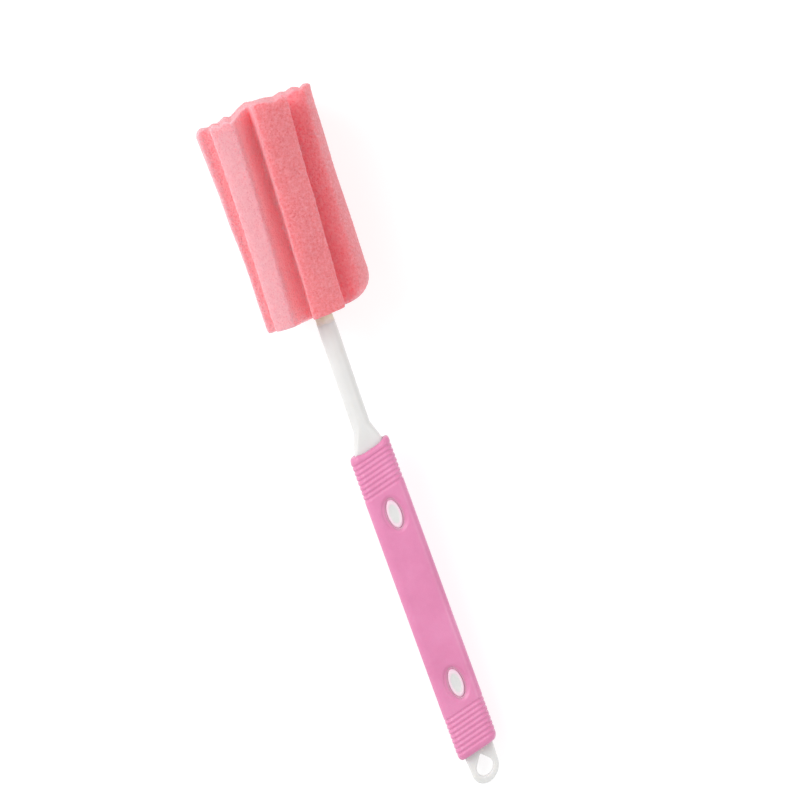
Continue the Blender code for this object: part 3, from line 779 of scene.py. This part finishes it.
def tab_outline():
    """A tongue with a round end, which runs into the bar."""
    root = BAR_START + TAB_ROOT
    outline = [(root, TAB_WIDTH / 2), (TAB_LENGTH, TAB_WIDTH / 2)]
    outline += arc(TAB_END_RADIUS, TAB_END_RADIUS, TAB_END_FROM_DEG, TAB_END_SWEEP_DEG)
    outline += [(TAB_LENGTH, -TAB_WIDTH / 2), (root, -TAB_WIDTH / 2)]
    return outline


def teardrop():
    """The hang hole: an arc that runs out to a blunt point towards the grip."""
    outline = arc(HOLE_CENTRE, HOLE_RADIUS, 90 - HOLE_POINT_DEG, 180 + 2 * HOLE_POINT_DEG)
    apex = HOLE_CENTRE + HOLE_RADIUS / math.sin(math.radians(HOLE_POINT_DEG))
    outline += [(apex - POINT_START, -POINT_HALF_WIDTH), (apex - POINT_END, 0.0)]
    outline.append((apex - POINT_START, POINT_HALF_WIDTH))
    return outline


def tab_shape():
    """The hang tab with its soft edges and its hole, from a filled curve."""
    curve = bpy.data.curves.new("hang_tab", "CURVE")
    curve.dimensions = "2D"
    curve.fill_mode = "BOTH"
    curve.extrude = TAB_THICKNESS / 2 - TAB_EDGE
    curve.bevel_depth = TAB_EDGE
    curve.bevel_resolution = 3
    curve.offset = -TAB_EDGE
    for outline in (tab_outline(), teardrop()):
        spline = curve.splines.new("POLY")
        spline.points.add(len(outline) - 1)
        for point, (x, y) in zip(spline.points, outline):
            point.co = (x - CROSS_RISE * y, y, 0.0, 1.0)
        spline.use_cyclic_u = True
    drawn = bpy.data.objects.new("hang_tab_curve", curve)
    bpy.context.scene.collection.objects.link(drawn)
    bpy.context.view_layer.update()
    graph = bpy.context.evaluated_depsgraph_get()
    mesh = bpy.data.meshes.new_from_object(drawn.evaluated_get(graph))
    bpy.data.objects.remove(drawn)
    shape = bmesh.new()
    shape.from_mesh(mesh)
    bmesh.ops.remove_doubles(shape, verts=shape.verts, dist=WELD)
    bmesh.ops.recalc_face_normals(shape, faces=shape.faces)
    return shape


# An island's top: how far each ring is below the raised rim, and its share of the island's size
ISLAND_TOP = ((0.00030, 0.05), (0.00029, 0.30), (0.00025, 0.48), (0.00017, 0.60), (0.00007, 0.70),
              (0.00001, 0.78), (0.0, 0.83), (0.00004, 0.89), (0.00014, 0.94), (0.0003, 0.98), (0.0006, 1.0))
ISLAND_SUNK = 0.0002


def island_shape(x):
    """An oval boss through the grip, with a raised soft rim round a slightly hollow top on both faces."""
    top = GRIP_THICKNESS / 2 - ISLAND_SUNK
    rings = []
    for drop, share in ISLAND_TOP:
        rings.append(oval_ring(x, top - drop, ISLAND_LENGTH * share, ISLAND_WIDTH * share))
    rings += [[(px, py, -pz) for px, py, pz in ring] for ring in reversed(rings)]
    return loft(rings)


ISLAND_MARGIN = 1.1
PALE_RIM_FROM = 0.58
PALE_RIM_SOFT = 0.14
PINK_EDGE_FROM = 0.82
PINK_EDGE_SOFT = 0.20


def mark_edges(core):
    """Stores how near each point is to an oval island's edge, where a painted highlight and a painted pink
    reflection
    of the grip lie: half on the pale raised rim, and one at the edge itself."""
    back = BRUSH.inverted()
    values = []
    for vertex in core.data.vertices:
        place = back @ vertex.co
        reach = island_reach(*from_island(place))
        value = 0.0
        if abs(place.z) > BAR_THICKNESS / 2 and reach < ISLAND_MARGIN:
            value = 0.5 * smoothstep((reach - PALE_RIM_FROM) / PALE_RIM_SOFT)
            value += 0.5 * smoothstep((reach - PINK_EDGE_FROM) / PINK_EDGE_SOFT)
        values.append(value)
    store(core, "edge", values)


def make_core():
    core = to_object("core_moulding", loft([core_ring(x) for x in core_stations()]), BRUSH)
    helpers = [to_object("spindle", spindle_shape(), STEM), to_object("hang_tab", tab_shape(), BRUSH)]
    for number, x in enumerate(ISLANDS):
        helpers.append(to_object("island_%d" % number, island_shape(x), BRUSH))
    for helper in helpers:
        combine(core, "UNION", helper)
    settle(core, helpers)
    mark_edges(core)
    soften(core, sharp_deg=32)
    dress(core, plastic_material(), "handle_core")


# Adhesive

GLUE_ROWS = 24
GLUE_STEPS = 64
GLUE_LAP = 0.0005
GLUE_UNDER_FOAM = 0.0012
GLUE_RADIUS = 0.00352
GLUE_LUMP = 0.00007
LUMP_SCALE = 2.3
LUMP_DRIFT = 3.0
RAGGED_SCALE = 1.9
RAGGED_PLACE = Vector((4.0, 0.0, 0.0))
RAGGED_SHARE = 0.3
FILM_LEAST = 0.00002
FILM_SWELL = 0.00005
FILM_SHARPNESS = 8
CUFF_START = 0.0002
CUFF_FADE = 0.0008

# The inside of the adhesive round the neck, from its deep end back to the stem, as places and radii
GLUE_INSIDE = ((FOAM_START + 0.0115, 0.0033), (FOAM_START + 0.0118, 0.0026), (NECK_START + 0.00006, 0.0026),
               (NECK_START + 0.00005, STEM_RADIUS - 0.0002))


def glue_ring(share):
    """A ring of the cuff at a share of its way to the foam, and how near the foam each point looks."""
    ring = []
    nearness = []
    for i in range(GLUE_STEPS):
        angle = 2 * math.pi * i / GLUE_STEPS
        around = Vector((math.cos(angle), math.sin(angle), 0.0))
        lump = noise.noise(around * LUMP_SCALE + Vector((0.0, 0.0, share * LUMP_DRIFT)))
        ragged = noise.noise(around * RAGGED_SCALE + RAGGED_PLACE)
        start = NECK_START - GLUE_LAP + GLUE_LAP * ragged
        x = start + share * (FOAM_START + GLUE_UNDER_FOAM - start)
        film = STEM_RADIUS + FILM_LEAST + FILM_SWELL * smoothstep(FILM_SHARPNESS * share)
        cuff = GLUE_RADIUS + GLUE_LUMP * lump
        radius = film + (cuff - film) * smoothstep((x - NECK_START + CUFF_START) / CUFF_FADE)
        ring.append((x, radius * math.cos(angle), radius * math.sin(angle)))
        nearness.append(share + RAGGED_SHARE * ragged)
    return ring, nearness


def make_glue():
    """A thin uneven cuff of adhesive, which laps over the stem's end and swells where it meets the foam."""
    rings = []
    near_foam = []
    for row in range(GLUE_ROWS + 1):
        ring, nearness = glue_ring(row / GLUE_ROWS)
        rings.append(ring)
        near_foam += nearness
    rings += turned_rings(GLUE_INSIDE, GLUE_STEPS)
    near_foam += [0.5] * len(GLUE_INSIDE) * GLUE_STEPS
    shape = loft(rings, cap_first=False, cap_last=False)
    shape.verts.ensure_lookup_table()
    first = [shape.verts[i] for i in range(GLUE_STEPS)]
    last = [shape.verts[(len(rings) - 1) * GLUE_STEPS + i] for i in range(GLUE_STEPS)]
    for i in range(GLUE_STEPS):
        j = (i + 1) % GLUE_STEPS
        shape.faces.new((last[i], last[j], first[j], first[i]))
    bmesh.ops.recalc_face_normals(shape, faces=shape.faces)
    glue = to_object("glue_cuff", shape, STEM)
    store(glue, "near_foam", near_foam)
    soften(glue, sharp_deg=50)
    dress(glue, glue_material(), "glue_collar")


# Materials

def dress(piece, material, node):
    """Gives a piece its material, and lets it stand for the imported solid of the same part."""
    piece.data.materials.clear()
    piece.data.materials.append(material)
    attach(piece, "root")
    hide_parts(node)


class Nodes:
    """A short way to add nodes to a material and link them."""

    def __init__(self, name):
        self.material = bpy.data.materials.new(name)
        self.material.use_nodes = True
        self.tree = self.material.node_tree
        self.shader = self.tree.nodes["Principled BSDF"]
        self.place = self.add("ShaderNodeTexCoord").outputs["Object"]

    def add(self, kind, **values):
        node = self.tree.nodes.new(kind)
        for key, value in values.items():
            setattr(node, key, value)
        return node

    def link(self, source, target):
        self.tree.links.new(source, target)

    def marked(self, name):
        """A value that a piece's mesh carries point by point."""
        return self.add("ShaderNodeAttribute", attribute_name=name).outputs["Fac"]

    def noise(self, scale, detail=3.0, roughness=0.5):
        node = self.add("ShaderNodeTexNoise")
        node.inputs["Scale"].default_value = scale
        node.inputs["Detail"].default_value = detail
        node.inputs["Roughness"].default_value = roughness
        self.link(self.place, node.inputs["Vector"])
        return node.outputs["Fac"]

    def cells(self, scale):
        node = self.add("ShaderNodeTexVoronoi")
        node.inputs["Scale"].default_value = scale
        self.link(self.place, node.inputs["Vector"])
        return node.outputs["Distance"]

    def ramp(self, source, stops):
        """A colour for each value, from stops of a position and a colour."""
        node = self.add("ShaderNodeValToRGB")
        elements = node.color_ramp.elements
        while len(elements) < len(stops):
            elements.new(0.5)
        for element, (position, colour) in zip(elements, stops):
            element.position = position
            element.color = (*colour, 1.0)
        self.link(source, node.inputs["Fac"])
        return node.outputs["Color"]

    def scaled(self, source, from_range, to_range):
        """A value moved from one range to another."""
        node = self.add("ShaderNodeMapRange")
        for key, value in zip(("From Min", "From Max", "To Min", "To Max"), from_range + to_range):
            node.inputs[key].default_value = value
        self.link(source, node.inputs["Value"])
        return node.outputs["Result"]

    def mixed(self, factor, first, second, blend="MIX"):
        """A mix of two colours, each of which is a socket or three numbers."""
        node = self.add("ShaderNodeMix", data_type="RGBA", blend_type=blend)
        if isinstance(factor, float):
            node.inputs[0].default_value = factor
        else:
            self.link(factor, node.inputs[0])
        for socket, value in ((node.inputs[6], first), (node.inputs[7], second)):
            if isinstance(value, tuple):
                socket.default_value = (*value, 1.0)
            else:
                self.link(value, socket)
        return node.outputs[2]

    def bump(self, height, strength, distance, under=None):
        node = self.add("ShaderNodeBump")
        node.inputs["Strength"].default_value = strength
        node.inputs["Distance"].default_value = distance
        self.link(height, node.inputs["Height"])
        if under is not None:
            self.link(under, node.inputs["Normal"])
        return node.outputs["Normal"]

    def scatter(self, weight, radius, scale):
        """Lets light into the material, red, green and blue as far as the radius says."""
        self.shader.inputs["Subsurface Weight"].default_value = weight
        self.shader.inputs["Subsurface Radius"].default_value = radius
        self.shader.inputs["Subsurface Scale"].default_value = scale

    def finish(self, colour, roughness, normal):
        self.link(colour, self.shader.inputs["Base Color"])
        self.link(roughness, self.shader.inputs["Roughness"])
        self.link(normal, self.shader.inputs["Normal"])
        return self.material


FOAM_FACES = ((0.32, (0.73, 0.20, 0.22)), (0.50, (0.77, 0.255, 0.28)), (0.68, (0.82, 0.33, 0.36)))
FOAM_PATCHES = (0.81, 0.32, 0.345)
# Painted light: the notches, and their feet more still, stand in for light that the foam scatters into them
FOAM_NOTCH_LIGHT = ((0.3, (0.98, 0.245, 0.285)), (0.7, (1.0, 0.43, 0.48)))
FOAM_NOTCH_FOOT_LIGHT = (1.0, 0.36, 0.40)
# Painted highlight: the side towards the key light, on its faces and in its notches, is painted paler
FOAM_LIT_SIDE = (0.74, 0.46, 0.51)
FOAM_LIT_SIDE_NOTCHES = (1.0, 0.54, 0.57)
# Painted shade at the middle of each open cell
FOAM_PORE_SHADE = (0.88, 0.46, 0.49)
FOAM_SHEEN = (1.0, 0.62, 0.68, 1.0)


def foam_material():
    """Open-cell foam: fine pores with painted shade in them, a fine mottle, painted light that makes the
    notches a lighter, clearer red, and a painted highlight that makes the side towards the key light paler."""
    nodes = Nodes("pink_foam_cells")
    mottle = nodes.noise(scale=950.0, detail=3.0, roughness=0.6)
    colour = nodes.ramp(mottle, FOAM_FACES)
    broad = nodes.noise(scale=60.0, detail=2.0)
    colour = nodes.mixed(nodes.scaled(broad, (0.35, 0.7), (0.0, 0.22)), colour, FOAM_PATCHES)
    # Painted light in the notches, lighter the deeper they are, and lightest at their feet
    deep = nodes.scaled(nodes.marked("depth"), (0.02, 0.4), (0.0, 0.95))
    colour = nodes.mixed(deep, colour, nodes.ramp(mottle, FOAM_NOTCH_LIGHT))
    foot = nodes.scaled(nodes.marked("depth"), (0.55, 0.95), (0.0, 0.7))
    colour = nodes.mixed(foot, colour, FOAM_NOTCH_FOOT_LIGHT)
    # Painted highlight that makes the side towards the key light paler, on its faces and in its notches
    lit_side_highlight = nodes.scaled(nodes.marked("lit_side_highlight"), (0.0, 1.0), (0.0, 0.55))
    colour = nodes.mixed(lit_side_highlight, colour, FOAM_LIT_SIDE)
    pale = nodes.scaled(nodes.marked("lit_side_notch_light"), (0.0, 1.0), (0.0, 0.6))
    colour = nodes.mixed(pale, colour, FOAM_LIT_SIDE_NOTCHES)
    # Painted shade at the middle of each open cell; the same cells give the bump
    pores = nodes.cells(scale=1150.0)
    colour = nodes.mixed(nodes.scaled(pores, (0.05, 0.38), (0.6, 0.0)), colour, FOAM_PORE_SHADE, "MULTIPLY")
    normal = nodes.bump(pores, strength=0.8, distance=0.0004)
    grain = nodes.noise(scale=1700.0, detail=3.0, roughness=0.6)
    normal = nodes.bump(grain, strength=0.3, distance=0.0002, under=normal)
    roughness = nodes.scaled(mottle, (0.3, 0.7), (1.0, 0.9))
    nodes.shader.inputs["Specular IOR Level"].default_value = 0.12
    nodes.shader.inputs["Sheen Weight"].default_value = 0.2
    nodes.shader.inputs["Sheen Roughness"].default_value = 0.6
    nodes.shader.inputs["Sheen Tint"].default_value = FOAM_SHEEN
    nodes.scatter(weight=1.0, radius=(1.0, 0.30, 0.32), scale=0.008)
    return nodes.finish(colour, roughness, normal)


RUBBER_CLOUDS = ((0.32, (0.71, 0.225, 0.415)), (0.52, (0.745, 0.245, 0.445)), (0.72, (0.77, 0.27, 0.475)))
RUBBER_GRAIN = (0.56, 0.14, 0.31)
RUBBER_WEAR = (0.83, 0.32, 0.53)
# Painted shade in the ring round each island, and painted light on the lip at its edge against the groove's
# shade
RUBBER_MOAT_SHADE = (0.57, 0.24, 0.36)
RUBBER_LIP_LIGHT = (0.82, 0.52, 0.64)


def rubber_material():
    """Soft-touch overmould: satin, with a fine eroded grain and faint cloudiness, painted shade in the moats
    and painted light on their lips.
    """
    nodes = Nodes("pink_soft_touch")
    cloud = nodes.noise(scale=70.0, detail=3.0)
    colour = nodes.ramp(cloud, RUBBER_CLOUDS)
    grain = nodes.noise(scale=2600.0, detail=2.0, roughness=0.6)
    colour = nodes.mixed(nodes.scaled(grain, (0.3, 0.7), (0.14, 0.0)), colour, RUBBER_GRAIN)
    wear = nodes.noise(scale=420.0, detail=4.0, roughness=0.6)
    colour = nodes.mixed(nodes.scaled(wear, (0.35, 0.7), (0.0, 0.16)), colour, RUBBER_WEAR)
    # Painted shade in the ring round each island, and painted light on the lip at its edge
    colour = nodes.mixed(nodes.marked("painted_moat_shade"), colour, RUBBER_MOAT_SHADE)
    colour = nodes.mixed(nodes.marked("lip"), colour, RUBBER_LIP_LIGHT)
    normal = nodes.bump(grain, strength=0.12, distance=0.0001)
    roughness = nodes.scaled(cloud, (0.3, 0.7), (0.42, 0.34))
    nodes.scatter(weight=0.15, radius=(1.0, 0.4, 0.6), scale=0.0015)
    return nodes.finish(colour, roughness, normal)


PLASTIC_FLOW = ((0.3, (0.71, 0.71, 0.70)), (0.7, (0.75, 0.75, 0.74)))

# What the white is multiplied with on an island: plain, on the pale rim with its painted highlight, and at
# the edge with its painted pink reflection of the grip
PLASTIC_RIM_LIGHT = ((0.0, (1.0, 1.0, 1.0)), (0.5, (1.24, 0.95, 1.08)), (1.0, (1.02, 0.45, 0.70)))


def plastic_material():
    """Moulded polypropylene: milky white, satin, with faint flow marks, and a painted highlight and painted
    pink reflection round the islands in the grip.
    """
    nodes = Nodes("white_moulded_plastic")
    flow = nodes.noise(scale=120.0, detail=3.0)
    colour = nodes.ramp(flow, PLASTIC_FLOW)
    # Painted highlight on each island's pale rim, and painted pink reflection of the grip at its edge
    edge = nodes.ramp(nodes.marked("edge"), PLASTIC_RIM_LIGHT)
    colour = nodes.mixed(1.0, colour, edge, "MULTIPLY")
    grain = nodes.noise(scale=1800.0, detail=2.0)
    normal = nodes.bump(grain, strength=0.05, distance=0.0001)
    roughness = nodes.scaled(flow, (0.3, 0.7), (0.40, 0.30))
    nodes.scatter(weight=0.5, radius=(1.0, 0.95, 0.88), scale=0.003)
    return nodes.finish(colour, roughness, normal)


GLUE_COLOURS = ((0.05, (0.86, 0.83, 0.78)), (0.45, (0.77, 0.72, 0.56)), (0.8, (0.58, 0.53, 0.35)))
GLUE_CLOUDS = (0.60, 0.53, 0.37)


def glue_material():
    """Cured adhesive: beige by the foam, and so thin by the stem that the white shows through."""
    nodes = Nodes("cured_adhesive")
    colour = nodes.ramp(nodes.marked("near_foam"), GLUE_COLOURS)
    cloud = nodes.noise(scale=520.0, detail=4.0, roughness=0.6)
    colour = nodes.mixed(nodes.scaled(cloud, (0.35, 0.7), (0.0, 0.35)), colour, GLUE_CLOUDS)
    grain = nodes.noise(scale=900.0, detail=3.0)
    normal = nodes.bump(grain, strength=0.3, distance=0.0002)
    roughness = nodes.scaled(cloud, (0.3, 0.7), (0.3, 0.5))
    nodes.scatter(weight=0.3, radius=(1.0, 0.85, 0.6), scale=0.001)
    return nodes.finish(colour, roughness, normal)


# Camera

# The photograph: its width, the pixel of the tail's end, the brush's lean from the vertical, and its scale,
# which holds at this height above the floor
PIXELS = 800
TAIL_PIXEL = (490.8, 783.1)
LEAN_DEG = 20.0
METRES_PER_PIXEL = 0.000381
SCALE_HEIGHT = 0.02
CAMERA_LENS_MM = 400.0
SENSOR_MM = 36.0
CLIP_END = 100.0


def picture_axes():
    """The directions on the floor that are up and right in the picture."""
    lean = math.radians(LEAN_DEG)
    return Vector((math.cos(lean), -math.sin(lean), 0.0)), Vector((-math.sin(lean), -math.cos(lean), 0.0))


def make_camera():
    """Looks straight down on the brush, turned so that the foam is at the upper left."""
    up, right = picture_axes()
    tail = Vector((CAD_BOX[0].x, BRUSH.translation.y, 0.0))
    across = (PIXELS / 2 - TAIL_PIXEL[0]) * METRES_PER_PIXEL
    along = (TAIL_PIXEL[1] - PIXELS / 2) * METRES_PER_PIXEL
    target = tail + right * across + up * along
    distance = PIXELS * METRES_PER_PIXEL * CAMERA_LENS_MM / SENSOR_MM
    data = bpy.data.cameras.new("camera")
    data.lens = CAMERA_LENS_MM
    data.sensor_width = SENSOR_MM
    data.clip_end = CLIP_END
    camera = bpy.data.objects.new("camera", data)
    bpy.context.scene.collection.objects.link(camera)
    turn = Matrix((right, up, Vector((0.0, 0.0, 1.0)))).transposed()
    place = target + Vector((0, 0, distance + SCALE_HEIGHT))
    camera.matrix_world = Matrix.Translation(place) @ turn.to_4x4()
    bpy.context.scene.camera = camera


# Floor and light

FLOOR_HALF = 10
FLOOR_GREY = (0.37, 0.37, 0.37, 1)
FLOOR_GLOW = 0.72
WHITE = (1, 1, 1, 1)
ROOM_LIGHT = 0.67

# Each softbox's place to the right, up in the picture and above the floor, its side and its power in watts
KEY_LIGHT = ((-0.95, 0.35, 1.0), 1.0, 12.0)
FILL_LIGHT = ((0.95, 0.0, 0.8), 0.5, 2.4)


def make_floor():
    """A back-lit white sheet, which keeps shadows faint as on a light table."""
    corners = [(x * FLOOR_HALF, y * FLOOR_HALF, 0) for x, y in ((-1, -1), (1, -1), (1, 1), (-1, 1))]
    mesh = bpy.data.meshes.new("floor")
    mesh.from_pydata(corners, [], [(0, 1, 2, 3)])
    floor = bpy.data.objects.new("floor", mesh)
    bpy.context.scene.collection.objects.link(floor)
    material = bpy.data.materials.new("floor")
    material.use_nodes = True
    shader = material.node_tree.nodes["Principled BSDF"]
    shader.inputs["Base Color"].default_value = FLOOR_GREY
    shader.inputs["Roughness"].default_value = 0.9
    shader.inputs["Specular IOR Level"].default_value = 0.0
    shader.inputs["Emission Color"].default_value = WHITE
    shader.inputs["Emission Strength"].default_value = FLOOR_GLOW
    mesh.materials.append(material)


def add_softbox(name, place, side, power):
    """A square area light that looks at the middle of the brush."""
    data = bpy.data.lights.new(name, "AREA")
    data.shape = "SQUARE"
    data.size = side
    data.energy = power
    light = bpy.data.objects.new(name, data)
    bpy.context.scene.collection.objects.link(light)
    up, right = picture_axes()
    light.location = right * place[0] + up * place[1] + Vector((0, 0, place[2]))
    light.rotation_euler = (-light.location).to_track_quat("-Z", "Y").to_euler()


def make_lights():
    """A large softbox at the picture's upper left, a weak one at its right, and an even dim room."""
    world = bpy.data.worlds.new("world")
    bpy.context.scene.world = world
    world.use_nodes = True
    world.node_tree.nodes["Background"].inputs["Color"].default_value = WHITE
    world.node_tree.nodes["Background"].inputs["Strength"].default_value = ROOM_LIGHT
    add_softbox("key", *KEY_LIGHT)
    add_softbox("fill", *FILL_LIGHT)


make_camera()
make_foam()
make_grip()
make_core()
make_glue()
make_floor()
make_lights()
bpy.context.scene.view_settings.view_transform = "Standard"
